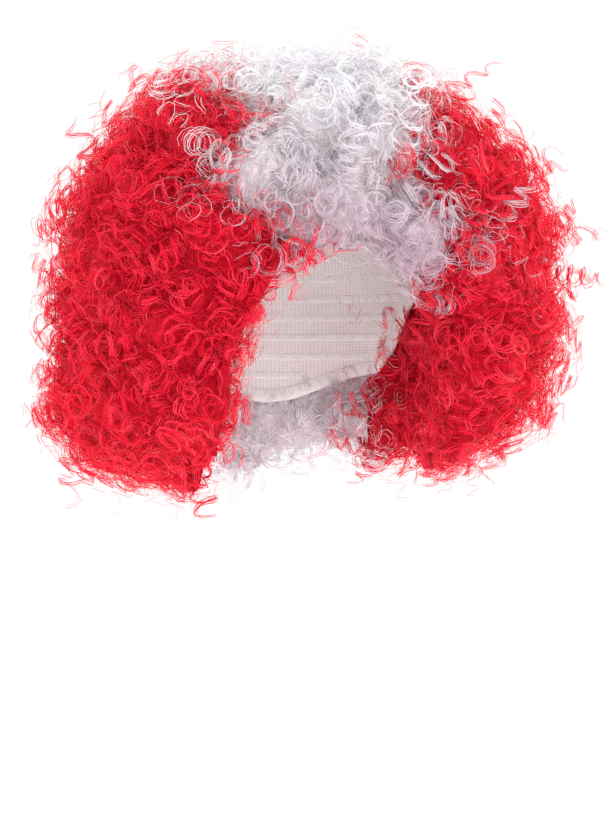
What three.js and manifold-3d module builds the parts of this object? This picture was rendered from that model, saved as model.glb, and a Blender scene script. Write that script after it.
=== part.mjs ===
// Curly party wig: a thin stretch cap with three panels of curled hair sewn to it, red, white and red.
// Millimetres, +Z up. The wearer faces -Y and has the right hand at -X. The origin is the seat on the
// crown of the head, at the top of the hollow inside the cap.
import * as THREE from "three";
import { mergeVertices } from "three/addons/utils/BufferGeometryUtils.js";
import Module from "manifold-3d";

const wasm = await Module();
wasm.setup();

// Head hollow
const headHalfWidth = 76; // ear to ear
const headHalfLength = 96; // brow to back of the head
const headRise = 100; // crown above the widest level of the head
const hollowBottom = -270; // the hollow runs out below the hair
const hollowColumns = 24;
const hollowRows = 8;

// Cap
const capWall = 2;
const capColumns = 40;
const capRows = 13;
const hairClearance = 2; // between the cap and the hair

// The rim's height round the head, by bearing from the front in degrees, alike on both sides
const capRim = [
  { bearing: 0, level: -38 }, // forehead
  { bearing: 40, level: -50 }, // temple
  { bearing: 70, level: -76 }, // before the ear
  { bearing: 98, level: -92 }, // over the ear
  { bearing: 128, level: -142 }, // behind the ear
  { bearing: 180, level: -160 }, // nape
];

// Outer form of the hair, to the tips of its locks
const hairHalfWidth = 170;
const hairFront = 136;
const hairBack = 158;
const hairTop = 66;
const hairBottom = -229;
const widestLevel = -105;
const widestTilt = 20; // the wearer's left is widest that much higher, the right that much lower
const upperRoundness = { right: 2.6, left: 2.15 }; // 2 is an ellipse, and more is squarer
const lowerRoundness = { right: 3.6, left: 2.5 };

// Backing that carries the locks
const lockProud = 17; // the tips stand that far out of the backing
const backingColumns = 24;
const backingRows = 11;

// Locks, spread over the outer form in one even spiral
const lockCount = 104;
const lockLength = 56;
const lockRadius = 30;
const lockDroop = 0.25; // how far a lock leans down, as a share of its length
const lockSides = 9;
const lockLobes = 3; // strands that twist round each other in a lock
const lobeDepth = 0.16;
const lockTwist = 2.2; // radians from root to tip
const goldenAngle = Math.PI * (3 - Math.sqrt(5));

// A lock's girth from root to tip
const lockRings = [
  { along: 0.0, girth: 0.7 },
  { along: 0.55, girth: 1.0 },
  { along: 0.88, girth: 0.72 },
];

// Face opening: its edges at each level where the hair meets the face, and how it flares forward
const faceOpening = [
  { level: -66, right: -8, left: 24 },
  { level: -76, right: -22, left: 42 },
  { level: -98, right: -36, left: 55 },
  { level: -128, right: -54, left: 65 },
  { level: -160, right: -62, left: 69 },
  { level: hollowBottom, right: -64, left: 70 },
];
const faceDepth = { back: -30, front: -220 };
const faceFlareFrom = -50;
const faceFlare = { right: -0.25, left: 0.37 }; // each edge moves that much for each millimetre forward
const faceMargin = 11; // a lock's middle keeps that far clear of the opening

// White panel: its edges at each level, seen from the front. Before the head it ends over the face, and
// behind the head it runs on down to the nape.
const whiteCrown = [
  { level: 110, right: -82, left: 60 },
  { level: 30, right: -86, left: 54 },
  { level: -10, right: -88, left: 48 },
  { level: -45, right: -76, left: 54 },
];
const whitePanel = {
  front: [
    ...whiteCrown,
    { level: -60, right: -46, left: 64 },
    { level: -70, right: -24, left: 68 },
    { level: -94, right: -16, left: 50 },
  ],
  back: [
    ...whiteCrown,
    { level: -100, right: -58, left: 60 },
    { level: hollowBottom, right: -60, left: 60 },
  ],
};
const panelDepth = 400;
const panelGap = 0.6;

const mergeDistance = 0.001; // corners nearer than this are one

const materials = {
  cap: new THREE.MeshStandardMaterial({ color: 0xe9e4e2, roughness: 0.85, metalness: 0 }),
  red: new THREE.MeshStandardMaterial({ color: 0xc60f2a, roughness: 0.55, metalness: 0 }),
  white: new THREE.MeshStandardMaterial({ color: 0xe4dfe4, roughness: 0.55, metalness: 0 }),
};

// The value of a table's column at a place along its key, eased between rows
function readTable(rows, key, column, place) {
  const next = rows.findIndex((row) => (row[key] - place) * (rows[1][key] - rows[0][key]) > 0);
  if (next === 0) return rows[0][column];
  if (next < 0) return rows.at(-1)[column];
  const [from, to] = [rows[next - 1], rows[next]];
  const share = (place - from[key]) / (to[key] - from[key]);
  return THREE.MathUtils.lerp(from[column], to[column], THREE.MathUtils.smoothstep(share, 0, 1));
}

function geometryOf(positions, triangles) {
  const geometry = new THREE.BufferGeometry();
  geometry.setAttribute("position", new THREE.Float32BufferAttribute(positions, 3));
  geometry.setIndex(triangles);
  return geometry;
}

// A closed solid through rings of points, from a first pole to a last one
function loft(firstPole, rings, lastPole) {
  const sides = rings[0].length;
  const points = [firstPole, ...rings.flat(), lastPole];
  const at = (ring, side) => 1 + ring * sides + (side % sides);
  const triangles = [];
  for (let side = 0; side < sides; side++) {
    triangles.push(0, at(0, side), at(0, side + 1));
    for (let ring = 1; ring < rings.length; ring++) {
      const [a, b] = [at(ring - 1, side), at(ring - 1, side + 1)];
      const [c, d] = [at(ring, side), at(ring, side + 1)];
      triangles.push(a, c, b, b, c, d);
    }
    triangles.push(at(rings.length - 1, side + 1), at(rings.length - 1, side), points.length - 1);
  }
  return geometryOf(points.flatMap((point) => point.toArray()), triangles);
}

function solidOf(geometry) {
  const bare = geometry.clone();
  bare.deleteAttribute("normal");
  bare.deleteAttribute("uv");
  const merged = mergeVertices(bare, mergeDistance);
  return new wasm.Manifold(
    new wasm.Mesh({
      numProp: 3,
      vertProperties: new Float32Array(merged.attributes.position.array),
      triVerts: new Uint32Array(merged.index.array),
    }),
  );
}

const largestBody = (solid) =>
  solid.decompose().reduce((best, body) => (body.volume() > best.volume() ? body : best));

const around = (count) => Array.from({ length: count }, (_, i) => (i * 2 * Math.PI) / count);
const steps = (count) => Array.from({ length: count }, (_, i) => (i + 1) / count);

// A point on the head's form, grown outwards. The swing is down from the crown in radians, and past a
// quarter turn the wall runs straight down.
function headPoint(bearing, swing, grow) {
  const reach = Math.sin(Math.min(swing, Math.PI / 2));
  const level =
    swing < Math.PI / 2
      ? (headRise + grow) * Math.cos(swing) - headRise
      : -headRise * (1 + swing - Math.PI / 2);
  return new THREE.Vector3(
    (headHalfWidth + grow) * reach * Math.sin(bearing),
    -(headHalfLength + grow) * reach * Math.cos(bearing),
    level,
  );
}

function swingAtLevel(level) {
  const above = 1 + level / headRise;
  return above > 0 ? Math.acos(above) : Math.PI / 2 - above;
}

function rimSwing(bearing) {
  const degrees = THREE.MathUtils.radToDeg(bearing);
  return swingAtLevel(readTable(capRim, "bearing", "level", Math.min(degrees, 360 - degrees)));
}

// The cap: an outer wall down to the rim and an inner wall back up to the crown
function makeCap() {
  const wall = (share, grow) =>
    around(capColumns).map((bearing) => headPoint(bearing, rimSwing(bearing) * share, grow));
  const outer = steps(capRows).map((share) => wall(share, capWall));
  const inner = steps(capRows).map((share) => wall(share, 0));
  return loft(headPoint(0, 0, capWall), [...outer, ...inner.reverse()], headPoint(0, 0, 0));
}

// The room that the head and the cap take, open below
function makeHollow() {
  const grow = capWall + hairClearance;
  const lowest = swingAtLevel(hollowBottom);
  const swings = steps(hollowRows).map((share) => (share * Math.PI) / 2);
  const rings = [...swings, lowest].map((swing) =>
    around(hollowColumns).map((bearing) => headPoint(bearing, swing, grow)),
  );
  return loft(headPoint(0, 0, grow), rings, new THREE.Vector3(0, 0, hollowBottom));
}

// A point on the hair's outer form, set in by a distance. The drop is down from the top, in radians.
function hairPoint(bearing, drop, inset) {
  const side = Math.sin(bearing);
  const widest = widestLevel + widestTilt * side;
  const upperHalf = drop < Math.PI / 2;
  const roundness = upperHalf ? upperRoundness : lowerRoundness;
  const power = 2 / THREE.MathUtils.mapLinear(side, -1, 1, roundness.right, roundness.left);
  const rise = upperHalf ? hairTop - inset - widest : hairBottom + inset - widest;
  const reach = Math.sin(drop) ** power;
  const depth = (Math.cos(bearing) > 0 ? hairFront : hairBack) - inset;
  return new THREE.Vector3(
    (hairHalfWidth - inset) * reach * side,
    -depth * reach * Math.cos(bearing),
    widest + rise * Math.abs(Math.cos(drop)) ** power,
  );
}

// The backing, grown outwards
function makeBacking(grow) {
  const inset = lockProud - grow;
  const drops = steps(backingRows).slice(0, -1);
  const rings = drops.map((share) =>
    around(backingColumns).map((bearing) => hairPoint(bearing, share * Math.PI, inset)),
  );
  return loft(hairPoint(0, 0, inset), rings, hairPoint(0, Math.PI, inset));
}

// An edge of the face opening at a level and a depth
const faceEdge = (side, level, depth) =>
  readTable(faceOpening, "level", side, level) + faceFlare[side] * Math.max(0, faceFlareFrom - depth);

// The opening for the face, as a prism along Y that flares towards the front
function makeFaceOpening() {
  const levels = faceOpening.map((row) => row.level);
  const edge = (side, level, depth) => new THREE.Vector3(faceEdge(side, level, depth), depth, level);
  const depths = [faceDepth.front, faceFlareFrom, faceDepth.back];
  const rings = depths.map((depth) => [
    ...levels.map((level) => edge("right", level, depth)),
    ...levels.toReversed().map((level) => edge("left", level, depth)),
  ]);
  const middle = (levels[0] + hollowBottom) / 2;
  const [front, , back] = depths;
  return loft(new THREE.Vector3(0, front, middle), rings, new THREE.Vector3(0, back, middle));
}

// The slab between the white panel's edges, before or behind the middle of the head
function makePanelSlab(half, grow) {
  const rows = whitePanel[half];
  const outline = [
    ...rows.map((row) => new THREE.Vector2(row.right - grow, row.level)),
    ...rows.toReversed().map((row) => new THREE.Vector2(row.left + grow, row.level)),
  ];
  return new THREE.ExtrudeGeometry(new THREE.Shape(outline), { depth: panelDepth, bevelEnabled: false })
    .rotateX(Math.PI / 2)
    .translate(0, half === "front" ? 0 : panelDepth, 0);
}

const whiteSlab = (grow) =>
  solidOf(makePanelSlab("front", grow)).add(solidOf(makePanelSlab("back", grow)));

// A lock: strands twisted round each other, from its root in the backing to a rounded tip
function makeLock(place, grow) {
  const root = place.tip.clone().addScaledVector(place.axis, -lockLength);
  const frame = new THREE.Quaternion().setFromUnitVectors(new THREE.Vector3(0, 0, -1), place.axis);
  const ringAt = ({ along, girth }) =>
    around(lockSides).map((angle) => {
      const lobe = 1 + lobeDepth * Math.cos(lockLobes * (angle - place.turn - lockTwist * along));
      const radius = girth * lockRadius * lobe + grow;
      const point = new THREE.Vector3(radius * Math.sin(angle), -radius * Math.cos(angle), -along * lockLength);
      return point.applyQuaternion(frame).add(root);
    });
  return loft(root, lockRings.map(ringAt), place.tip.clone().addScaledVector(place.axis, grow));
}

const insideHollow = (point) =>
  Math.hypot(point.x / (headHalfWidth + lockRadius / 2), point.y / (headHalfLength + lockRadius / 2)) < 1;

function insideFace(point) {
  const right = faceEdge("right", point.z, point.y) - faceMargin;
  const left = faceEdge("left", point.z, point.y) + faceMargin;
  return point.y < 0 && point.z < faceOpening[0].level && point.x > right && point.x < left;
}

// Where the locks stand: an even spiral over the outer form, without the face and the neck
function placeLocks() {
  const places = [];
  for (let i = 0; i < lockCount; i++) {
    const drop = Math.acos(1 - (2 * (i + 0.5)) / lockCount);
    const bearing = (i * goldenAngle) % (2 * Math.PI);
    const tip = hairPoint(bearing, drop, 0);
    const axis = tip.clone().sub(hairPoint(bearing, drop, lockLength)).normalize();
    axis.z -= lockDroop * Math.sin(drop);
    axis.normalize();
    const below = tip.z < widestLevel && insideHollow(tip);
    if (!below && !insideFace(tip)) places.push({ tip, axis, turn: bearing });
  }
  return places;
}

function isWhite({ tip }) {
  const rows = whitePanel[tip.y < 0 ? "front" : "back"];
  const right = readTable(rows, "level", "right", tip.z);
  const left = readTable(rows, "level", "left", tip.z);
  return tip.z > rows.at(-1).level && tip.x > right && tip.x < left;
}

const fuseLocks = (places, start, grow) =>
  places.reduce((sum, place) => sum.add(solidOf(makeLock(place, grow))), start);

const hollow = solidOf(makeHollow());
const backing = solidOf(makeBacking(0)).subtract(solidOf(makeFaceOpening()));
const locks = placeLocks();
const whiteLocks = locks.filter(isWhite);
const redLocks = locks.filter((place) => !isWhite(place));

const whiteHair = fuseLocks(whiteLocks, backing.intersect(whiteSlab(0)), 0);

// The room that the white hair takes among the red, with a gap round it
const roomPanel = solidOf(makeBacking(panelGap)).intersect(whiteSlab(panelGap));
const whiteRoom = fuseLocks(whiteLocks, roomPanel, panelGap);

function makeRedHair(side) {
  const places = redLocks.filter((place) => Math.sign(place.tip.x) === side);
  const half = new THREE.BoxGeometry(panelDepth, 2 * panelDepth, 2 * panelDepth);
  const ownSide = solidOf(half.translate((side * panelDepth) / 2, 0, 0));
  return fuseLocks(places, backing.intersect(ownSide), 0).subtract(whiteRoom);
}

function addMesh(group, name, geometry, material) {
  const mesh = new THREE.Mesh(geometry, material);
  mesh.name = name;
  mesh.geometry.computeVertexNormals();
  group.add(mesh);
}

function geometryOfSolid(solid) {
  const { vertProperties, triVerts } = solid.getMesh();
  return geometryOf(vertProperties, Array.from(triVerts));
}

// Cut clear of the head, with the slivers of the cuts merged away
function hairGeometry(solid) {
  const cut = geometryOfSolid(largestBody(solid.subtract(hollow)));
  return geometryOfSolid(largestBody(solidOf(cut)));
}

const wig = new THREE.Group();
wig.name = "wig";
addMesh(wig, "cap", makeCap(), materials.cap);
addMesh(wig, "hair_white", hairGeometry(whiteHair), materials.white);
addMesh(wig, "hair_red_right", hairGeometry(makeRedHair(-1)), materials.red);
addMesh(wig, "hair_red_left", hairGeometry(makeRedHair(1)), materials.red);

export default wig;
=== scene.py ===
import math
from itertools import count

import bmesh
import bpy
import numpy as np
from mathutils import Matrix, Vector
from mathutils.bvhtree import BVHTree


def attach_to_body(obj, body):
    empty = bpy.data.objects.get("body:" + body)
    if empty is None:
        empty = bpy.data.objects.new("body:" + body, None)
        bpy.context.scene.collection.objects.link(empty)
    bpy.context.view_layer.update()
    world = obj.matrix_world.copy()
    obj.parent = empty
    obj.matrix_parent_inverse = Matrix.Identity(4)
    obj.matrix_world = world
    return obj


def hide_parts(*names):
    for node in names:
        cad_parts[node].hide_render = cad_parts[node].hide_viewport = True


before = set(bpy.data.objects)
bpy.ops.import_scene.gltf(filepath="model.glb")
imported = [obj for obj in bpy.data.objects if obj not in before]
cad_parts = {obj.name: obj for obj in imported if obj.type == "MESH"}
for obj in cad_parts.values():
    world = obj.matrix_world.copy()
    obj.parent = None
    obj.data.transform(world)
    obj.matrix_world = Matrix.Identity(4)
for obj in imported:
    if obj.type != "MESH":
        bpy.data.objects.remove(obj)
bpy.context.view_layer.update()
scene = bpy.context.scene
print("frame loaded:", sorted(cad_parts))


# Node helpers

def put(tree, kind, values=None, **settings):
    node = tree.nodes.new(kind)
    for name, value in settings.items():
        setattr(node, name, value)
    for key, value in (values or {}).items():
        socket = node.inputs[key]
        if isinstance(value, bpy.types.NodeSocket):
            tree.links.new(value, socket)
        else:
            socket.default_value = value
    return node


def calc(tree, operation, *terms):
    return put(tree, "ShaderNodeMath", dict(enumerate(terms)), operation=operation).outputs[0]


def product(tree, first, *others):
    whole = first
    for term in others:
        whole = calc(tree, "MULTIPLY", whole, term)
    return whole


def clamped(tree, value):
    return put(tree, "ShaderNodeClamp", {"Value": value}).outputs[0]


def ramp(tree, value, start, end, first=0.0, last=1.0):
    sockets = {"Value": value, "From Min": start, "From Max": end, "To Min": first, "To Max": last}
    return put(tree, "ShaderNodeMapRange", sockets).outputs[0]


def vector(tree, operation, *terms):
    return put(tree, "ShaderNodeVectorMath", dict(enumerate(terms)), operation=operation).outputs[0]


def dotOf(tree, first, second):
    node = put(tree, "ShaderNodeVectorMath", {0: first, 1: second}, operation="DOT_PRODUCT")
    return node.outputs["Value"]


def scaled(tree, direction, size):
    sockets = {0: direction, "Scale": size}
    return put(tree, "ShaderNodeVectorMath", sockets, operation="SCALE").outputs[0]


def total(tree, first, *others):
    whole = first
    for term in others:
        whole = vector(tree, "ADD", whole, term)
    return whole


def mixColour(tree, factor, first, second, blend="MIX"):
    sockets = {0: factor, 6: first, 7: second}
    return put(tree, "ShaderNodeMix", sockets, data_type="RGBA", blend_type=blend).outputs[2]


def addSockets(tree, inputs, outputs):
    for name, kind, value in inputs:
        socket = tree.interface.new_socket(name, in_out="INPUT", socket_type="NodeSocket" + kind)
        if value is not None:
            socket.default_value = value
    for name, kind in outputs:
        tree.interface.new_socket(name, in_out="OUTPUT", socket_type="NodeSocket" + kind)
    return tree.nodes.new("NodeGroupInput"), tree.nodes.new("NodeGroupOutput")


# Camera at the photograph's angle: level, and a little to the wearer's right

cameraPlace = {"azimuth": -16, "distance": 1.8, "height": -0.1656, "frameHeight": 0.5125, "sensor": 36}


def makeCamera(place):
    data = bpy.data.cameras.new("camera")
    data.sensor_width = place["sensor"]
    data.lens = place["sensor"] * place["distance"] / place["frameHeight"]
    camera = bpy.data.objects.new("camera", data)
    scene.collection.objects.link(camera)
    turn = math.radians(place["azimuth"])
    back = Vector((math.sin(turn), -math.cos(turn), 0))
    camera.location = back * place["distance"] + Vector((0, 0, place["height"]))
    camera.rotation_mode = "QUATERNION"
    camera.rotation_quaternion = (-back).to_track_quat("-Z", "Y")
    scene.camera = camera


# Studio: white surround, white floor well below the held wig, soft lights before and behind it

studio = {
    "surround": 1.0,
    "surroundColour": (1, 1, 1, 1),
    "floorLevel": -0.75,
    "floorHalf": 14,
    "floorColour": (1, 1, 1, 1),
    "floorRoughness": 0.9,
    "lights": (
        {"name": "keyLight", "place": (-1.0, -2.0, 0.9), "size": 1.6, "power": 14},
        {"name": "fillLight", "place": (1.3, -1.8, 0.2), "size": 1.6, "power": 10},
        {"name": "rightRim", "place": (-1.9, 0.8, 0.2), "size": 1.2, "power": 22},
        {"name": "leftRim", "place": (1.9, 0.6, 0.0), "size": 1.2, "power": 34},
        {"name": "backLight", "place": (0.2, 1.5, 1.4), "size": 1.4, "power": 34},
        {"name": "bounceLight", "place": (0, -1.3, -0.65), "size": 1.2, "power": 10},
    ),
    "aim": (0, 0, -0.09),
}


def makeLight(light, aim):
    data = bpy.data.lights.new(light["name"], "AREA")
    data.size = light["size"]
    data.energy = light["power"]
    lamp = bpy.data.objects.new(light["name"], data)
    lamp.location = light["place"]
    lamp.rotation_euler = (Vector(aim) - lamp.location).to_track_quat("-Z", "Y").to_euler()
    scene.collection.objects.link(lamp)


def makeFloor(plan):
    half, level = plan["floorHalf"], plan["floorLevel"]
    mesh = bpy.data.meshes.new("floor")
    corners = [(-half, -half, level), (half, -half, level), (half, half, level), (-half, half, level)]
    mesh.from_pydata(corners, [], [(0, 1, 2, 3)])
    paint = bpy.data.materials.new("floorPaint")
    paint.use_nodes = True
    shader = paint.node_tree.nodes["Principled BSDF"]
    shader.inputs["Base Color"].default_value = plan["floorColour"]
    shader.inputs["Roughness"].default_value = plan["floorRoughness"]
    mesh.materials.append(paint)
    floor = bpy.data.objects.new("floor", mesh)
    scene.collection.objects.link(floor)


def makeStudio(plan):
    world = bpy.data.worlds.new("surround")
    world.use_nodes = True
    background = world.node_tree.nodes["Background"]
    background.inputs["Color"].default_value = plan["surroundColour"]
    background.inputs["Strength"].default_value = plan["surround"]
    scene.world = world
    for light in plan["lights"]:
        makeLight(light, plan["aim"])
    makeFloor(plan)
    scene.view_settings.view_transform = "Standard"


makeCamera(cameraPlace)
makeStudio(studio)
print("camera and studio made")


# Materials: a shader group gives the colour and the roughness, and a height where there is a bump

def makeMaterial(name, group, surface, plain, bump=None):
    material = bpy.data.materials.new(name)
    material.use_nodes = True
    tree = material.node_tree
    shader = tree.nodes["Principled BSDF"]
    pattern = put(tree, "ShaderNodeGroup", surface, node_tree=group)
    tree.links.new(pattern.outputs["Colour"], shader.inputs["Base Color"])
    tree.links.new(pattern.outputs["Roughness"], shader.inputs["Roughness"])
    for socket, value in plain.items():
        shader.inputs[socket].default_value = value
    if bump:
        relief = put(tree, "ShaderNodeBump", {"Height": pattern.outputs["Height"], **bump})
        tree.links.new(relief.outputs[0], shader.inputs["Normal"])
    return material


def makeGroup(name, inputs, outputs):
    tree = bpy.data.node_groups.new(name, "ShaderNodeTree")
    return tree, *addSockets(tree, inputs, outputs)


def putOut(tree, result, **outputs):
    for name, socket in outputs.items():
        tree.links.new(socket, result.inputs[name])


def objectPlace(tree):
    return put(tree, "ShaderNodeTexCoord").outputs["Object"]


def noiseAt(tree, place, scale, detail):
    return put(tree, "ShaderNodeTexNoise", {"Vector": place, "Scale": scale, "Detail": detail})


# Hair colours, each from its matted depth to the glints on its curls, the glints being painted
# highlights

hairFinishes = {
    "red": {
        # the matted depth and the roots are darker, as painted shade
        "matted": (0.47, 0.0004, 0.013, 1), "root": (0.56, 0.0006, 0.018, 1),
        # the tip colour is lighter, as painted light through the thin ends
        "middle": (0.68, 0.002, 0.027, 1), "tip": (0.88, 0.016, 0.052, 1),
        # the glint colour is a painted highlight
        "paintedGlint": (0.95, 0.34, 0.37, 1), "paintedLowShade": (1, 1, 1, 1),
        "contrast": 0.34, "tipShare": 0.4, "paintedGlintShare": 0.55, "roughness": 0.45, "specular": 0.1,
    },
    "white": {
        # the matted depth and the roots are lighter, as painted light in the shaded depth
        "matted": (0.92, 0.89, 0.91, 1), "root": (0.9, 0.87, 0.89, 1),
        # the tip colour is a little bluer, as a painted highlight
        "middle": (0.81, 0.79, 0.81, 1), "tip": (0.81, 0.81, 0.85, 1),
        # the glint colour is a painted highlight
        # the low tint colour is painted shade with a pink painted reflection of the red hair
        "paintedGlint": (0.83, 0.86, 0.93, 1), "paintedLowShade": (0.63, 0.48, 0.545, 1),
        "contrast": 0.2, "tipShare": 0.2, "paintedGlintShare": 0.4, "roughness": 0.42, "specular": 0.2,
    },
}
paintedLowShade = {
    "from": 0.025, "to": -0.07,  # levels between which the painted shade, with its pink painted reflection, comes in
    "behind": 0.05, "before": -0.06, "behindShare": 0.45,  # and it is fainter behind than in the fringe
}


# Painted shade with a pink painted reflection of the red hair: lower down, and more at the front, the
# colour is multiplied by the tint
def withPaintedLowShade(tree, colour, paintedShade):
    parts = put(tree, "ShaderNodeSeparateXYZ", {0: objectPlace(tree)}).outputs
    below = ramp(tree, parts[2], paintedLowShade["from"], paintedLowShade["to"])
    ahead = ramp(tree, parts[1], paintedLowShade["behind"], paintedLowShade["before"], paintedLowShade["behindShare"])
    return mixColour(tree, product(tree, below, ahead), colour, paintedShade, "MULTIPLY")


# Strands: streaks of noise make each one lighter and darker along its length

strand = {
    "toneLanes": 37.0, "acrossLanes": 5.0, "alongLanes": 2.0,  # how fast the streaks change
    "detail": 1.0,
    "streakSwing": 1.2, "rootEnd": 0.35, "tipStart": 0.45,
    "paintedGlintFrom": 0.58, "paintedGlintTo": 0.72,  # streaks between which a strand gets its painted highlight
    "roughSwing": 0.3,
}


def makeStrandGroup(plan):
    colours = [(name + " Colour", "Color", None) for name in ("Root", "Middle", "Tip", "Glint")]
    names = ("Contrast", "Tip Share", "Glint Share", "Mean Roughness")
    amounts = [(name, "Float", None) for name in names]
    inputs = [*colours, ("Painted Low Shade", "Color", None), *amounts]
    tree, given, result = makeGroup("strands", inputs, [("Colour", "Color"), ("Roughness", "Float")])
    ask = given.outputs
    tone, along, across = (
        put(tree, "ShaderNodeAttribute", attribute_name=name).outputs["Fac"]
        for name in ("tone", "along", "across")
    )
    sideways = product(tree, across, plan["acrossLanes"])
    lane = calc(tree, "MULTIPLY_ADD", tone, plan["toneLanes"], sideways)
    place = put(tree, "ShaderNodeCombineXYZ", {0: lane, 1: product(tree, along, plan["alongLanes"])})
    streak = noiseAt(tree, place.outputs[0], 1.0, plan["detail"]).outputs["Fac"]
    swing = calc(tree, "MULTIPLY_ADD", streak, plan["streakSwing"], -plan["streakSwing"] / 2)
    # Painted light at the ends: towards the tip the colour goes to the tip colour, with random tone and
    # streaks added
    ends = product(tree, ramp(tree, along, plan["tipStart"], 1.0), ask["Tip Share"])
    toneAndTipLight = calc(tree, "MULTIPLY_ADD", calc(tree, "ADD", tone, swing), ask["Contrast"], ends)
    # From the root the colour goes to the middle colour: darker at the root in the red, as painted
    # shade, and lighter in the white, as painted light
    grown = ramp(tree, along, 0.0, plan["rootEnd"])
    colour = mixColour(tree, grown, ask["Root Colour"], ask["Middle Colour"])
    colour = mixColour(tree, clamped(tree, toneAndTipLight), colour, ask["Tip Colour"])
    # Painted highlights: where the streak noise peaks, the glint colour is mixed in
    glints = product(tree, ramp(tree, streak, plan["paintedGlintFrom"], plan["paintedGlintTo"]), ask["Glint Share"])
    colour = mixColour(tree, glints, colour, ask["Glint Colour"])
    rough = calc(tree, "MULTIPLY_ADD", streak, -plan["roughSwing"], plan["roughSwing"] / 2)
    rough = calc(tree, "ADD", rough, ask["Mean Roughness"])
    putOut(tree, result, Colour=withPaintedLowShade(tree, colour, ask["Painted Low Shade"]), Roughness=rough)
    return tree


strandGroup = makeStrandGroup(strand)


def makeFibre(name, finish):
    surface = {
        "Root Colour": finish["root"], "Middle Colour": finish["middle"], "Tip Colour": finish["tip"],
        "Glint Colour": finish["paintedGlint"], "Painted Low Shade": finish["paintedLowShade"], "Contrast": finish["contrast"],
        "Tip Share": finish["tipShare"], "Glint Share": finish["paintedGlintShare"],
        "Mean Roughness": finish["roughness"],
    }
    plain = {"Specular IOR Level": finish["specular"]}
    return makeMaterial(name + "Fibre", strandGroup, surface, plain)


# Under the curls each core is matted fibre: streaks bent by noise, in colour and in bump. Its colours
# are painted shade in the red and painted light in the white.

matting = {
    "streaks": 800.0, "detail": 3.0, "drawn": (1.0, 1.0, 0.25),
    "bend": 70.0, "bendDetail": 2.0, "bendShare": 0.02,
    "mattedAt": 0.35, "rootAt": 0.65,  # streaks between which the matted colour becomes the roots'
    "rough": 0.8, "smooth": 0.6, "specular": 0.15, "bump": {"Strength": 1.0, "Distance": 0.003},
}


def makeMattingGroup(plan):
    inputs = [(name, "Color", None) for name in ("Matted Colour", "Root Colour", "Painted Low Shade")]
    outputs = [("Colour", "Color"), ("Roughness", "Float"), ("Height", "Float")]
    tree, given, result = makeGroup("matting", inputs, outputs)
    ask = given.outputs
    place = objectPlace(tree)
    bend = noiseAt(tree, place, plan["bend"], plan["bendDetail"]).outputs["Color"]
    moved = vector(tree, "ADD", place, scaled(tree, bend, plan["bendShare"]))
    drawn = vector(tree, "MULTIPLY", moved, plan["drawn"])
    streak = noiseAt(tree, drawn, plan["streaks"], plan["detail"]).outputs["Fac"]
    rooted = ramp(tree, streak, plan["mattedAt"], plan["rootAt"])
    colour = mixColour(tree, rooted, ask["Matted Colour"], ask["Root Colour"])
    colour = withPaintedLowShade(tree, colour, ask["Painted Low Shade"])
    rough = ramp(tree, streak, plan["mattedAt"], plan["rootAt"], plan["rough"], plan["smooth"])
    putOut(tree, result, Colour=colour, Roughness=rough, Height=streak)
    return tree


mattingGroup = makeMattingGroup(matting)


def makeMat(name, finish):
    surface = {
        "Matted Colour": finish["matted"], "Root Colour": finish["root"], "Painted Low Shade": finish["paintedLowShade"],
    }
    plain = {"Specular IOR Level": matting["specular"]}
    return makeMaterial(name + "Matting", mattingGroup, surface, plain, matting["bump"])


fibres = {name: makeFibre(name, finish) for name, finish in hairFinishes.items()}
mats = {name: makeMat(name, finish) for name, finish in hairFinishes.items()}
print("hair finishes made")


# Mesh helpers

def meshObject(name, mesh):
    piece = bpy.data.objects.new(name, mesh)
    scene.collection.objects.link(piece)
    return piece


def asPlainMesh(piece):
    graph = bpy.context.evaluated_depsgraph_get()
    mesh = bpy.data.meshes.new_from_object(piece.evaluated_get(graph))
    piece.modifiers.clear()
    piece.data = mesh
    return piece


mergeDistance = 1e-5  # corners nearer than this are one


def mergedWork(nodeName):
    work = bmesh.new()
    work.from_mesh(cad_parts[nodeName].data)
    bmesh.ops.remove_doubles(work, verts=work.verts, dist=mergeDistance)
    return work


def meshOf(work, name):
    mesh = bpy.data.meshes.new(name)
    work.to_mesh(mesh)
    work.free()
    return mesh


def numbersOf(items, key, width=3):
    found = np.empty(len(items) * width, np.float32)
    items.foreach_get(key, found)
    return found.reshape(-1, width)


def treeOf(mesh):
    faces = [tuple(polygon.vertices) for polygon in mesh.polygons]
    return BVHTree.FromPolygons([vertex.co for vertex in mesh.vertices], faces)


solidTrees = {name: treeOf(node.data) for name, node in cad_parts.items()}
rayStart = 1e-4  # a ray starts that far off its own wall


def rayLength(tree, start, direction, longest):
    hit = tree.ray_cast(start + direction * rayStart, direction, longest)
    return hit[3] if hit[0] is not None else longest


def socketOf(tree, name):
    sockets = [item for item in tree.interface.items_tree if item.in_out == "INPUT"]
    return next(item.identifier for item in sockets if item.name == name)


def dressWith(piece, tree, settings):
    modifier = piece.modifiers.new(tree.name, "NODES")
    modifier.node_group = tree
    for label, value in settings.items():
        modifier[socketOf(tree, label)] = value
    asPlainMesh(piece)
    piece.data.calc_loop_triangles()
    print(piece.name, len(piece.data.loop_triangles), "triangles")
    return piece


def attach(piece):
    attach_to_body(piece, "root")


# Hair panels: their colours, how far white and red mix at the seams, and their crowns

panels = {
    "hair_white": {
        "slot": "hair_white", "fibre": "white", "seed": 130,
        "strays": ("hair_red", "red"), "strayReach": 0.024, "crownInset": 0.011, "crownLength": 1.15,
    },
    "hair_red_right": {
        "slot": "hair_red", "fibre": "red", "seed": 230,
        "strays": ("hair_white", "white"), "strayReach": 0.022, "crownInset": 0.019, "crownLength": 0.8,
    },
    "hair_red_left": {
        "slot": "hair_red", "fibre": "red", "seed": 330,
        "strays": ("hair_white", "white"), "strayReach": 0.03, "crownInset": 0.019, "crownLength": 0.85,
    },
}

# Hair cores: each panel's solid, remeshed and drawn in, which carries the curls' roots

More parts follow.
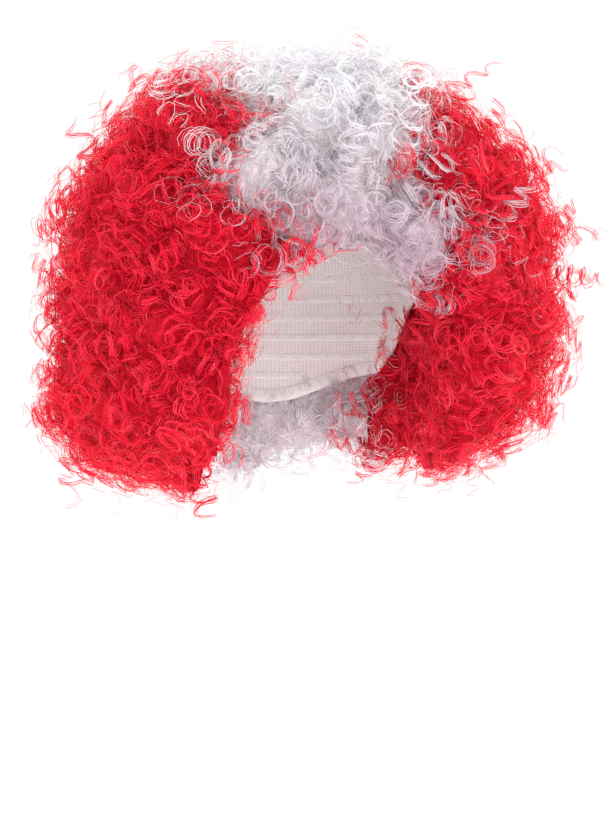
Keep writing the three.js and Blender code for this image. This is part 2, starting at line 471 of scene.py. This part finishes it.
core = {
    "voxel": 0.006, "smoothing": 8,
    "levels": (-0.22, -0.17, -0.06, 0.04),
    "insets": (0.018, 0.012, 0.012),  # at the first three levels, and a panel gives its crown's own
    "thinShare": 0.35,  # a thin place is drawn in by no more than this share of it
    "farthest": 1,  # and its thickness is looked for as far as this
    "crownFrom": 0.0, "crownTo": 0.05,  # between these levels the curls come to their crown's length
    "seam": 0.004, "seamFade": 0.02,  # between these distances to another panel, a wall leaves its seam
    "middle": (0, 0.01, -0.1),  # seams are drawn in towards this point, so that they stay shut
    "fixedNear": 0.004, "fixedFar": 0.03,  # and less and less on the way to the head's room
    "liftFrom": -0.16, "liftTo": -0.2,  # between these levels the seams by the head come to be drawn up
    "facing": 0.004,  # a wall that faces another panel nearer than this stays bare
    "lining": 0.007,  # and so does one that faces the cap nearer than this
    "innerShare": 0.5, "innerLength": 0.8,  # walls to the head are drawn in less, with shorter curls
    "widest": -0.1,  # below this level the room for the head has upright walls
}
headHalf = numbersOf(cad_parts["cap"].data.vertices, "co").max(0)


def share(value, low, high):
    return min(max((value - low) / (high - low), 0.0), 1.0)


def headDistance(point):
    distance = solidTrees["cap"].find_nearest(point)[3]
    if point.z > core["widest"]:
        return distance
    outside = math.hypot(point.x / headHalf[0], point.y / headHalf[1]) - 1
    return min(distance, outside * headHalf[0])


def remeshed(nodeName):
    piece = meshObject(nodeName + "_core", meshOf(mergedWork(nodeName), nodeName + "Core"))
    remesh = piece.modifiers.new("remesh", "REMESH")
    remesh.mode = "VOXEL"
    remesh.voxel_size = core["voxel"]
    smooth = piece.modifiers.new("smooth", "SMOOTH")
    smooth.iterations = core["smoothing"]
    return asPlainMesh(piece)


def makeCore(nodeName, panel):
    piece = remeshed(nodeName)
    places = numbersOf(piece.data.vertices, "co")
    normals = numbersOf(piece.data.vertices, "normal")
    own = treeOf(piece.data)
    others = [tree for name, tree in solidTrees.items() if name not in (nodeName, "cap")]
    insets = [*core["insets"], panel["crownInset"]]
    middle = Vector(core["middle"])
    attributes = {"rootShare": [], "strayShare": [], "lengthShare": []}
    for i, (place, normal) in enumerate(zip(places, normals)):
        start, out = Vector(place), Vector(normal)
        gap = min(tree.find_nearest(start)[3] for tree in others)
        faced = min(rayLength(tree, start, out, core["facing"]) for tree in others) < core["facing"]
        lined = rayLength(solidTrees["cap"], start, out, core["lining"]) < core["lining"]
        inner = out.dot(start - middle) < 0
        if not lined:
            inset = float(np.interp(start.z, core["levels"], insets))
            inset *= core["innerShare"] if inner else 1
            thickness = rayLength(own, start, -out, core["farthest"])
            inwards = -out * min(inset, core["thinShare"] * thickness)
            upwards = Vector((0, 0, inset)) * share(start.z, core["liftFrom"], core["liftTo"])
            away = share(headDistance(start), core["fixedNear"], core["fixedFar"])
            seamwards = upwards.lerp((middle - start).normalized() * inset, away)
            places[i] += seamwards.lerp(inwards, share(gap, core["seam"], core["seamFade"]))
        rooted = 0.0 if faced or lined else 1.0
        crown = 1 + (panel["crownLength"] - 1) * share(start.z, core["crownFrom"], core["crownTo"])
        attributes["rootShare"].append(rooted)
        attributes["strayShare"].append(rooted * (1 - share(gap, core["seam"], panel["strayReach"])))
        attributes["lengthShare"].append(core["innerLength"] if inner else crown)
    piece.data.vertices.foreach_set("co", places.ravel())
    piece.data.update()
    for name, values in attributes.items():
        attribute = piece.data.attributes.new(name, "FLOAT", "POINT")
        attribute.data.foreach_set("value", np.array(values, np.float32))
    return piece


# Curls by Geometry Nodes: roots spread over a core, and at each root a ringlet of side by side strands

curlInputs = (
    ("Geometry", "Geometry", None), ("Roots", "String", "rootShare"), ("Crowding", "Float", 15.0),
    ("Spacing", "Float", 0.007), ("Length", "Float", 0.03), ("Highest", "Float", 0.032),
    ("Coil Radius", "Float", 0.006), ("Turns", "Float", 2.0), ("Variation", "Float", 0.35),
    ("Lean", "Float", 0.8), ("Tuft", "Float", 0.8), ("Tuft Scale", "Float", 38.0),
    ("Droop", "Float", 0.3), ("Bend", "Float", 0.5), ("Strands", "Int", 5),
    ("Band Width", "Float", 0.003), ("Band Depth", "Float", 0.0006), ("Looseness", "Float", 0.1),
    ("Strand Width", "Float", 0.0007), ("Steps", "Int", 20), ("Wobble", "Float", 0.002),
    ("Frizz", "Float", 0.0006), ("Seed", "Int", 1), ("Material", "Material", None),
)
curl = {
    "leastRise": 0.2,  # the least slope of a curl over its core
    "tuftFrom": 0.35, "tuftTo": 0.65, "tuftLeast": 0.65, "tuftMost": 1.2,  # size of the curls in a tuft
    "tuftTone": 0.8, "toneLow": -0.3, "toneHigh": 0.5, "strandTone": 0.25,
    "shortest": 0.78,  # the shortest strand of a curl, as a share of the longest
    "opening": (0.4, 2.6, -2.4),  # the coil's radius along it, as a parabola
    "waves": 70.0, "waveLanes": 3.0, "frizzes": 160.0, "frizzLanes": 9.0, "noiseDetail": 1.0,
    "ribbonSide": 0.5, "taper": 0.55,  # a ribbon's half width, and how much of it goes by its tip
    "side": (0.37, 0.61, 0.7),  # any direction, to start the coil's own axes from
}


def randomNumber(tree, low, high, seed):
    sockets = {2: low, 3: high, 8: seed}
    return put(tree, "FunctionNodeRandomValue", sockets, data_type="FLOAT").outputs[1]


def randomVector(tree, reach, seed):
    sockets = {0: (-reach,) * 3, 1: (reach,) * 3, 8: seed}
    return put(tree, "FunctionNodeRandomValue", sockets, data_type="FLOAT_VECTOR").outputs[0]


def keepAttribute(tree, geometry, name, value, kind="FLOAT"):
    sockets = {"Geometry": geometry, "Name": name, "Value": value}
    node = put(tree, "GeometryNodeStoreNamedAttribute", sockets, data_type=kind, domain="POINT")
    return node.outputs["Geometry"]


def recallAttribute(tree, name, kind="FLOAT"):
    return put(tree, "GeometryNodeInputNamedAttribute", {"Name": name}, data_type=kind).outputs[0]


def noiseAround(tree, place, lane, scale):
    sockets = {"Vector": place, "W": lane, "Scale": scale, "Detail": curl["noiseDetail"]}
    node = put(tree, "ShaderNodeTexNoise", sockets, noise_dimensions="4D")
    shift = vector(tree, "SUBTRACT", node.outputs["Color"], (0.5, 0.5, 0.5))
    return scaled(tree, shift, 2.0), node.outputs["Fac"]


def turnedTo(tree, curves, normal):
    sockets = {"Curve": curves, "Normal": normal}
    return put(tree, "GeometryNodeSetCurveNormal", sockets, mode="FREE").outputs[0]


def smoothIn(tree, geometry, material):
    smooth = put(tree, "GeometryNodeSetShadeSmooth", {"Geometry": geometry}).outputs[0]
    return put(tree, "GeometryNodeSetMaterial", {"Geometry": smooth, "Material": material}).outputs[0]


def makeCurlTree(plan):
    tree = bpy.data.node_groups.new("curls", "GeometryNodeTree")
    given, result = addSockets(tree, curlInputs, [("Geometry", "Geometry")])
    ask = given.outputs
    draws = count()

    def seed():
        return calc(tree, "ADD", ask["Seed"], next(draws))

    def eitherWay(value):
        return randomNumber(tree, product(tree, value, -1.0), value, seed())

    def varied(value):
        return product(tree, value, calc(tree, "ADD", eitherWay(ask["Variation"]), 1.0))

    def keep(geometry, name, value, kind="FLOAT"):
        return keepAttribute(tree, geometry, name, value, kind)

    def recall(name, kind="FLOAT"):
        return recallAttribute(tree, name, kind)

    cell = product(tree, ask["Spacing"], ask["Spacing"])
    spread = put(tree, "GeometryNodeDistributePointsOnFaces", {
        "Mesh": ask["Geometry"], "Distance Min": ask["Spacing"],
        "Density Max": calc(tree, "DIVIDE", ask["Crowding"], cell),
        "Density Factor": recall(ask["Roots"]), "Seed": ask["Seed"],
    }, distribute_method="POISSON")
    points, normal = spread.outputs["Points"], spread.outputs["Normal"]
    root = put(tree, "GeometryNodeInputPosition").outputs[0]

    # Neighbours in a tuft lean the same way, and no curl grows into the core
    tuftLean, tuftTone = noiseAround(tree, root, 0.0, ask["Tuft Scale"])
    lean = scaled(tree, randomVector(tree, 1.0, seed()), ask["Lean"])
    gather = scaled(tree, tuftLean, ask["Tuft"])
    sag = scaled(tree, (0, 0, -1), ask["Droop"])
    growth = vector(tree, "NORMALIZE", total(tree, normal, lean, gather, sag))
    short = calc(tree, "SUBTRACT", plan["leastRise"], dotOf(tree, growth, normal))
    lift = calc(tree, "MAXIMUM", short, 0.0)
    growth = vector(tree, "NORMALIZE", vector(tree, "ADD", growth, scaled(tree, normal, lift)))
    sideways = vector(tree, "CROSS_PRODUCT", normal, randomVector(tree, 1.0, seed()))
    hand = calc(tree, "SIGN", randomNumber(tree, -1.0, 1.0, seed()))
    swell = ramp(tree, tuftTone, plan["tuftFrom"], plan["tuftTo"], plan["tuftLeast"], plan["tuftMost"])
    size = product(tree, varied(1.0), swell, recall("lengthShare"))
    tone = randomNumber(tree, plan["toneLow"], plan["toneHigh"], seed())
    points = keep(points, "growth", growth, "FLOAT_VECTOR")
    points = keep(points, "root", root, "FLOAT_VECTOR")
    points = keep(points, "rootNormal", normal, "FLOAT_VECTOR")
    points = keep(points, "bend", scaled(tree, sideways, ask["Bend"]), "FLOAT_VECTOR")
    points = keep(points, "reach", product(tree, size, ask["Length"]))
    points = keep(points, "coil", varied(ask["Coil Radius"]))
    points = keep(points, "turns", product(tree, size, varied(ask["Turns"]), hand))
    points = keep(points, "phase", randomNumber(tree, 0.0, 2 * math.pi, seed()))
    points = keep(points, "curlTone", calc(tree, "MULTIPLY_ADD", tuftTone, plan["tuftTone"], tone))

    # Strands lie side by side across the ringlet's band
    copies = put(tree, "GeometryNodeDuplicateElements", {
        "Geometry": points, "Amount": ask["Strands"],
    }, domain="POINT")
    strands, number = copies.outputs["Geometry"], copies.outputs["Duplicate Index"]
    lane = calc(tree, "DIVIDE", calc(tree, "ADD", number, 0.5), ask["Strands"])
    lane = calc(tree, "SUBTRACT", lane, 0.5)
    shade = randomNumber(tree, -plan["strandTone"], plan["strandTone"], seed())
    strands = keep(strands, "strandSlip", product(tree, lane, ask["Band Width"]))
    strands = keep(strands, "strandOut", eitherWay(ask["Band Depth"]))
    strands = keep(strands, "strandPhase", eitherWay(ask["Looseness"]))
    strands = keep(strands, "strandEnd", randomNumber(tree, plan["shortest"], 1.0, seed()))
    strands = keep(strands, "strandTilt", randomNumber(tree, -1.0, 1.0, seed()))
    strands = keep(strands, "strandWidth", varied(ask["Strand Width"]))
    strands = keep(strands, "strandLane", randomNumber(tree, 0.0, plan["frizzLanes"], seed()))
    strands = keep(strands, "tone", clamped(tree, calc(tree, "ADD", shade, recall("curlTone"))))

    line = put(tree, "GeometryNodeCurvePrimitiveLine").outputs[0]
    line = put(tree, "GeometryNodeResampleCurve", {"Curve": line, "Count": ask["Steps"]}).outputs[0]
    placed = put(tree, "GeometryNodeInstanceOnPoints", {"Points": strands, "Instance": line}).outputs[0]
    curves = put(tree, "GeometryNodeRealizeInstances", {"Geometry": placed}).outputs[0]
    curves = keep(curves, "along", put(tree, "GeometryNodeSplineParameter").outputs["Factor"])
    curves = keep(curves, "way", product(tree, recall("along"), recall("strandEnd")))

    # The coil opens from its root and closes again towards its tip
    way, reach = recall("way"), recall("reach")
    root, growth = recall("root", "FLOAT_VECTOR"), recall("growth", "FLOAT_VECTOR")
    across = vector(tree, "NORMALIZE", vector(tree, "CROSS_PRODUCT", growth, plan["side"]))
    third = vector(tree, "CROSS_PRODUCT", growth, across)
    turned = product(tree, recall("turns"), 2 * math.pi, way)
    angle = calc(tree, "ADD", turned, calc(tree, "ADD", recall("phase"), recall("strandPhase")))
    least, rising, falling = plan["opening"]
    opened = calc(tree, "MULTIPLY_ADD", way, calc(tree, "MULTIPLY_ADD", way, falling, rising), least)
    radius = calc(tree, "MULTIPLY_ADD", recall("coil"), opened, recall("strandOut"))
    forth = scaled(tree, across, calc(tree, "COSINE", angle))
    outward = vector(tree, "ADD", forth, scaled(tree, third, calc(tree, "SINE", angle)))
    reached = calc(tree, "MULTIPLY_ADD", reach, way, recall("strandSlip"))
    bent = scaled(tree, recall("bend", "FLOAT_VECTOR"), product(tree, reach, way, way))
    coil = total(tree, root, scaled(tree, growth, reached), bent, scaled(tree, outward, radius))
    wave, _ = noiseAround(tree, coil, product(tree, recall("phase"), plan["waveLanes"]), plan["waves"])
    shake, _ = noiseAround(tree, coil, recall("strandLane"), plan["frizzes"])
    place = total(tree, coil, scaled(tree, wave, ask["Wobble"]), scaled(tree, shake, ask["Frizz"]))

    # Heights over the core ease off below the highest one
    upright = recall("rootNormal", "FLOAT_VECTOR")
    height = dotOf(tree, vector(tree, "SUBTRACT", place, root), upright)
    eased = calc(tree, "TANH", calc(tree, "DIVIDE", height, ask["Highest"]))
    eased = product(tree, eased, ask["Highest"])
    place = vector(tree, "ADD", place, scaled(tree, upright, calc(tree, "SUBTRACT", eased, height)))
    curves = put(tree, "GeometryNodeSetPosition", {"Geometry": curves, "Position": place}).outputs[0]
    curves = turnedTo(tree, curves, outward)
    tilted = put(tree, "GeometryNodeSetCurveTilt", {"Curve": curves, "Tilt": recall("strandTilt")})

    # Each strand is a ribbon that tapers to its tip
    profile = put(tree, "GeometryNodeCurvePrimitiveLine", {
        "Start": (0, -plan["ribbonSide"], 0), "End": (0, plan["ribbonSide"], 0),
    })
    crosswise = put(tree, "GeometryNodeSplineParameter").outputs["Factor"]
    slim = calc(tree, "SUBTRACT", 1.0, product(tree, way, way, plan["taper"]))
    ribbons = put(tree, "GeometryNodeCurveToMesh", {
        "Curve": tilted.outputs[0], "Profile Curve": keep(profile.outputs[0], "across", crosswise),
        "Scale": product(tree, recall("strandWidth"), slim),
    })
    whole = put(tree, "GeometryNodeRealizeInstances", {"Geometry": ribbons.outputs[0]}).outputs[0]
    tree.links.new(smoothIn(tree, whole, ask["Material"]), result.inputs[0])
    return tree


curlTree = makeCurlTree(curl)

# Layers of curls on each core, from its depth to the ends that stand out; strays have the other colour

curlLayers = {
    "deep": {
        "Spacing": 0.0097, "Length": 0.013, "Coil Radius": 0.0055, "Turns": 1.5, "Variation": 0.3,
        "Lean": 1.5, "Tuft": 0.3, "Droop": 0.2, "Bend": 0.3, "Strands": 4, "Band Width": 0.0046,
        "Band Depth": 0.001, "Looseness": 0.3, "Strand Width": 0.0007, "Steps": 10,
        "Wobble": 0.0025, "Frizz": 0.0014,
    },
    "outer": {
        "Spacing": 0.0134, "Length": 0.031, "Coil Radius": 0.0064, "Turns": 3.1, "Variation": 0.3,
        "Lean": 1.4, "Tuft": 0.9, "Droop": 0.2, "Bend": 0.55, "Strands": 6, "Band Width": 0.0034,
        "Band Depth": 0.001, "Looseness": 0.2, "Strand Width": 0.0004, "Steps": 25,
        "Wobble": 0.0025, "Frizz": 0.0012,
    },
    "ringlets": {
        "Spacing": 0.028, "Length": 0.031, "Coil Radius": 0.007, "Turns": 3.3, "Variation": 0.2,
        "Lean": 2.0, "Tuft": 0.3, "Droop": 0.1, "Bend": 0.6, "Strands": 9, "Band Width": 0.0026,
        "Band Depth": 0.0018, "Looseness": 0.2, "Strand Width": 0.00042, "Steps": 32,
        "Wobble": 0.0018, "Frizz": 0.0006,
    },
    "fuzz": {
        "Spacing": 0.0076, "Length": 0.028, "Coil Radius": 0.0052, "Turns": 2.9, "Variation": 0.3,
        "Lean": 1.0, "Tuft": 0.5, "Droop": 0.2, "Bend": 0.4, "Strands": 1, "Band Width": 0.001,
        "Band Depth": 0.001, "Looseness": 0.5, "Strand Width": 0.00027, "Steps": 24,
        "Wobble": 0.003, "Frizz": 0.0015,
    },
    "strays": {
        "Roots": "strayShare", "Crowding": 3.0, "Highest": 0.024,
        "Spacing": 0.006, "Length": 0.026, "Coil Radius": 0.0055, "Turns": 2.4, "Variation": 0.3,
        "Lean": 1.0, "Tuft": 0.5, "Droop": 0.2, "Bend": 0.5, "Strands": 2, "Band Width": 0.003,
        "Band Depth": 0.002, "Looseness": 0.6, "Strand Width": 0.00032, "Steps": 22,
        "Wobble": 0.003, "Frizz": 0.0018,
    },
    "strayRinglets": {
        "Roots": "strayShare", "Crowding": 1.5, "Highest": 0.024,
        "Spacing": 0.02, "Length": 0.028, "Coil Radius": 0.0066, "Turns": 3.3, "Variation": 0.2,
        "Lean": 1.6, "Tuft": 0.5, "Droop": 0.4, "Bend": 0.6, "Strands": 9, "Band Width": 0.003,
        "Band Depth": 0.002, "Looseness": 0.3, "Strand Width": 0.0004, "Steps": 32,
        "Wobble": 0.0022, "Frizz": 0.001,
    },
}
layerSeeds = 10  # from one layer's seed to the next
keptAttributes = ("tone", "along", "across", "material_index", "sharp_face")
bakeCorners = ((0.1, 0.1), (0.9, 0.1), (0.9, 0.9), (0.1, 0.9))  # a ribbon's face within its own square


def layBakeMap(mesh):
    faces = len(mesh.polygons)
    columns = math.ceil(math.sqrt(faces))
    face = np.repeat(np.arange(faces), len(bakeCorners))
    squares = np.stack([face % columns, face // columns], 1)
    squares = squares + np.tile(np.array(bakeCorners), (faces, 1))
    layer = mesh.uv_layers.new(name="OFBake")
    layer.data.foreach_set("uv", (squares / columns).astype(np.float32).ravel())


def growCurls(name, carrier, settings):
    piece = dressWith(meshObject(name, carrier.data.copy()), curlTree, settings)
    found = piece.data.attributes
    for key in [item.name for item in found if not item.is_internal and not item.is_required]:
        if key not in keptAttributes:
            found.remove(found[key])
    layBakeMap(piece.data)
    return piece


def makePanel(nodeName, panel):
    carrier = makeCore(nodeName, panel)
    carrier.data.materials.clear()
    carrier.data.materials.append(mats[panel["fibre"]])
    attach(carrier)
    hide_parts(nodeName)
    print(carrier.name, 2 * len(carrier.data.polygons), "triangles")
    for number, (layer, settings) in enumerate(curlLayers.items()):
        slot, fibre = panel["strays"] if layer.startswith("stray") else (panel["slot"], panel["fibre"])
        given = {**settings, "Seed": panel["seed"] + layerSeeds * number, "Material": fibres[fibre]}
        attach(growCurls(nodeName + "_" + layer, carrier, given))


for nodeName, panel in panels.items():
    makePanel(nodeName, panel)
print("hair made")


# Cap cloths: ribs round the head and courses up it, in colour, roughness and bump; the colour darkens
# in the valleys as painted shade, with lighter patches of wear

cloths = {
    "capKnit": {
        "light": (0.80, 0.755, 0.75, 1), "shade": (0.56, 0.50, 0.50, 1),
        "ribs": 230.0, "course": 0.0019, "roughness": 0.85, "bumpDepth": 0.0006,
    },
    "tapeWeave": {
        "light": (0.86, 0.83, 0.83, 1), "shade": (0.66, 0.61, 0.62, 1),
        "ribs": 420.0, "course": 0.0009, "roughness": 0.85, "bumpDepth": 0.0006,
    },
    "sewingThread": {
        "light": (0.90, 0.88, 0.89, 1), "shade": (0.74, 0.70, 0.72, 1),
        "ribs": 900.0, "course": 0.0005, "roughness": 0.5, "bumpDepth": 0.0001,
    },
}
knit = {
    "ribClimb": 2.5, "courseSwing": 0.3, "paintedShadeShare": 0.75,
    "wearScale": 35.0, "wearDetail": 3.0, "wearShare": 0.5,
    "roughSwing": 0.2, "bump": 0.6, "sheen": 0.2,
}


def makeKnitGroup(plan):
    colours = [(name, "Color", None) for name in ("Light Colour", "Shade Colour")]
    amounts = [(name, "Float", None) for name in ("Ribs", "Course", "Mean Roughness")]
    outputs = [("Colour", "Color"), ("Roughness", "Float"), ("Height", "Float")]
    tree, given, result = makeGroup("knit", [*colours, *amounts], outputs)
    ask = given.outputs
    place = objectPlace(tree)
    parts = put(tree, "ShaderNodeSeparateXYZ", {0: place}).outputs
    bearing = calc(tree, "ARCTAN2", parts[0], product(tree, parts[1], -1.0))
    rib = calc(tree, "ABSOLUTE", calc(tree, "SINE", product(tree, bearing, ask["Ribs"], 0.5)))
    courses = calc(tree, "DIVIDE", product(tree, parts[2], 2 * math.pi), ask["Course"])
    climb = calc(tree, "MULTIPLY_ADD", rib, plan["ribClimb"], courses)
    swing = plan["courseSwing"]
    course = calc(tree, "MULTIPLY_ADD", calc(tree, "SINE", climb), swing, 1 - swing)
    height = product(tree, rib, course)
    # Ridges take the light colour and valleys the shade colour, as painted shade, and noise adds
    # lighter patches of wear
    wear = noiseAt(tree, place, plan["wearScale"], plan["wearDetail"]).outputs["Fac"]
    relief = product(tree, height, plan["paintedShadeShare"])
    wearAndPaintedShade = clamped(tree, calc(tree, "MULTIPLY_ADD", wear, plan["wearShare"], relief))
    colour = mixColour(tree, wearAndPaintedShade, ask["Shade Colour"], ask["Light Colour"])
    rough = calc(tree, "MULTIPLY_ADD", height, -plan["roughSwing"], ask["Mean Roughness"])
    rough = calc(tree, "ADD", rough, plan["roughSwing"] / 2)
    putOut(tree, result, Colour=colour, Roughness=rough, Height=height)
    return tree


knitGroup = makeKnitGroup(knit)


def makeCloth(name, cloth):
    surface = {
        "Light Colour": cloth["light"], "Shade Colour": cloth["shade"], "Ribs": cloth["ribs"],
        "Course": cloth["course"], "Mean Roughness": cloth["roughness"],
    }
    bump = {"Strength": knit["bump"], "Distance": cloth["bumpDepth"]}
    return makeMaterial(name, knitGroup, surface, {"Sheen Weight": knit["sheen"]}, bump)


capCloths = {name: makeCloth(name, cloth) for name, cloth in cloths.items()}


# Cap shell: the cap's solid with its facets joined and rounded

shell = {"rounding": 2, "joinAngle": 0.7}


def makeCapShell(plan):
    work = mergedWork("cap")
    bmesh.ops.join_triangles(
        work, faces=work.faces, angle_face_threshold=plan["joinAngle"], angle_shape_threshold=math.pi,
    )
    piece = meshObject("cap_shell", meshOf(work, "capShell"))
    rounding = piece.modifiers.new("rounding", "SUBSURF")
    rounding.levels = rounding.render_levels = plan["rounding"]
    asPlainMesh(piece)
    piece.data.materials.clear()
    piece.data.materials.append(capCloths["capKnit"])
    piece.data.polygons.foreach_set("use_smooth", np.ones(len(piece.data.polygons), bool))
    return piece


# A tape along a line of points with a zigzag of stitches, by Geometry Nodes

tapeInputs = (
    ("Geometry", "Geometry", None), ("Tape Width", "Float", 0.005), ("Tape Thickness", "Float", 0.001),
    ("Stitch Spacing", "Float", 0.004), ("Stitch Length", "Float", 0.005),
    ("Stitch Slant", "Float", 0.9), ("Stitch Rise", "Float", 0.0008),
    ("Thread Radius", "Float", 0.0003), ("Tape Material", "Material", None),
    ("Thread Material", "Material", None),
)
tapeShape = {"rounding": 0.4, "roundSteps": 2, "archSteps": 3, "threadSides": 4}


def makeTapeTree(plan):
    tree = bpy.data.node_groups.new("tape", "GeometryNodeTree")
    given, result = addSockets(tree, tapeInputs, [("Geometry", "Geometry")])
    ask = given.outputs
    inward = recallAttribute(tree, "inward", "FLOAT_VECTOR")
    line = put(tree, "GeometryNodeMeshToCurve", {"Mesh": ask["Geometry"]}).outputs[0]
    line = turnedTo(tree, line, inward)
    section = put(tree, "GeometryNodeCurvePrimitiveQuadrilateral", {
        "Width": ask["Tape Thickness"], "Height": ask["Tape Width"],
    })
    section = put(tree, "GeometryNodeFilletCurve", {
        "Curve": section.outputs[0], "Count": plan["roundSteps"],
        "Radius": product(tree, ask["Tape Thickness"], plan["rounding"]),
    }, mode="POLY")
    tape = put(tree, "GeometryNodeCurveToMesh", {
        "Curve": line, "Profile Curve": section.outputs[0], "Fill Caps": True,
    })

    # One stitch is an arch of thread, and every second one slants the other way
    half = product(tree, ask["Stitch Length"], 0.5)
    start, end = (
        put(tree, "ShaderNodeCombineXYZ", {0: product(tree, half, sign)}).outputs[0]
        for sign in (-1.0, 1.0)
    )
    top = put(tree, "ShaderNodeCombineXYZ", {2: ask["Stitch Rise"]}).outputs[0]
    arch = put(tree, "GeometryNodeCurveQuadraticBezier", {
        "Resolution": plan["archSteps"], "Start": start, "Middle": top, "End": end,
    })
    ring = put(tree, "GeometryNodeCurvePrimitiveCircle", {
        "Resolution": plan["threadSides"], "Radius": ask["Thread Radius"],
    })
    stitch = put(tree, "GeometryNodeCurveToMesh", {
        "Curve": arch.outputs[0], "Profile Curve": ring.outputs[0], "Fill Caps": True,
    })
    spots = put(tree, "GeometryNodeCurveToPoints", {
        "Curve": line, "Length": ask["Stitch Spacing"],
    }, mode="LENGTH")
    facing = put(tree, "FunctionNodeAxesToRotation", {
        0: inward, 1: spots.outputs["Tangent"],
    }, primary_axis="Z", secondary_axis="X")
    index = put(tree, "GeometryNodeInputIndex").outputs[0]
    side = calc(tree, "MULTIPLY_ADD", calc(tree, "MODULO", index, 2.0), 2.0, -1.0)
    turn = put(tree, "FunctionNodeAxisAngleToRotation", {
        "Axis": (0, 0, 1), "Angle": product(tree, ask["Stitch Slant"], side),
    })
    aim = put(tree, "FunctionNodeRotateRotation", {
        0: facing.outputs[0], 1: turn.outputs[0],
    }, rotation_space="LOCAL")
    lifted = put(tree, "GeometryNodeSetPosition", {
        "Geometry": spots.outputs["Points"],
        "Offset": scaled(tree, inward, product(tree, ask["Tape Thickness"], 0.5)),
    })
    sewn = put(tree, "GeometryNodeInstanceOnPoints", {
        "Points": lifted.outputs[0], "Instance": stitch.outputs[0], "Rotation": aim.outputs[0],
    })
    sewn = put(tree, "GeometryNodeRealizeInstances", {"Geometry": sewn.outputs[0]})
    joined = put(tree, "GeometryNodeJoinGeometry")
    tree.links.new(smoothIn(tree, sewn.outputs[0], ask["Thread Material"]), joined.inputs[0])
    tree.links.new(smoothIn(tree, tape.outputs[0], ask["Tape Material"]), joined.inputs[0])
    tree.links.new(joined.outputs[0], result.inputs[0])
    return tree


tapeTree = makeTapeTree(tapeShape)
sewing = {"Tape Material": capCloths["tapeWeave"], "Thread Material": capCloths["sewingThread"]}


# Lines round the inside of the cap, found by rays from the middle of the head

capScan = {"bearings": 120, "from": -0.166, "step": 0.0005}


def innerWall(bearing, level):
    direction = Vector((math.sin(bearing), -math.cos(bearing), 0))
    return solidTrees["cap"].ray_cast(Vector((0, 0, level)), direction)


def rimLevel(bearing):
    level = capScan["from"]
    while innerWall(bearing, level)[0] is None:
        level += capScan["step"]
    return level


bearings = [2 * math.pi * i / capScan["bearings"] for i in range(capScan["bearings"])]
rimLevels = [rimLevel(bearing) for bearing in bearings]


def wallPoint(bearing, level, outwards):
    place, normal, _, _ = innerWall(bearing, level)
    return place - normal * outwards, normal


def lineObject(name, rows):
    points, inwards, edges = [], [], []
    for row in rows:
        numbers = [None] * len(row)
        for i, entry in enumerate(row):
            if entry is not None:
                numbers[i] = len(points)
                points.append(entry[0])
                inwards.append(entry[1])
        pairs = zip(numbers, numbers[1:] + numbers[:1])
        edges += [pair for pair in pairs if None not in pair]
    mesh = bpy.data.meshes.new(name)
    mesh.from_pydata(points, edges, [])
    attribute = mesh.attributes.new("inward", "FLOAT_VECTOR", "POINT")
    attribute.data.foreach_set("vector", np.array(inwards, np.float32).ravel())
    return meshObject(name, mesh)


# Wefts: rows of tape sewn round the inside of the cap

wefts = {
    "first": -0.018, "spacing": 0.0125, "count": 12, "aboveRim": 0.011, "sink": 0.0002,
    "tape": {
        "Tape Width": 0.0048, "Tape Thickness": 0.0012, "Stitch Spacing": 0.0055,
        "Stitch Length": 0.0052, "Stitch Slant": 0.85, "Stitch Rise": 0.0009, "Thread Radius": 0.00032,
    },
}


def makeWefts(plan):
    rows = []
    for number in range(plan["count"]):
        level = plan["first"] - number * plan["spacing"]
        rows.append([
            wallPoint(bearing, level, plan["sink"]) if level > rim + plan["aboveRim"] else None
            for bearing, rim in zip(bearings, rimLevels)
        ])
    return dressWith(lineObject("cap_wefts", rows), tapeTree, {**plan["tape"], **sewing})


# Hem: an elastic tape along the rim

hem = {
    "aboveRim": 0.0035, "toMiddle": 0.001,
    "tape": {
        "Tape Width": 0.009, "Tape Thickness": 0.0034, "Stitch Spacing": 0.0034,
        "Stitch Length": 0.0062, "Stitch Slant": 1.05, "Stitch Rise": 0.0009, "Thread Radius": 0.00035,
    },
}


def makeHem(plan):
    row = [
        wallPoint(bearing, rim + plan["aboveRim"], plan["toMiddle"])
        for bearing, rim in zip(bearings, rimLevels)
    ]
    return dressWith(lineObject("cap_hem", [row]), tapeTree, {**plan["tape"], **sewing})


capShell = makeCapShell(shell)
for piece in (capShell, makeWefts(wefts), makeHem(hem)):
    attach(piece)
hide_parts("cap")
print("cap made")
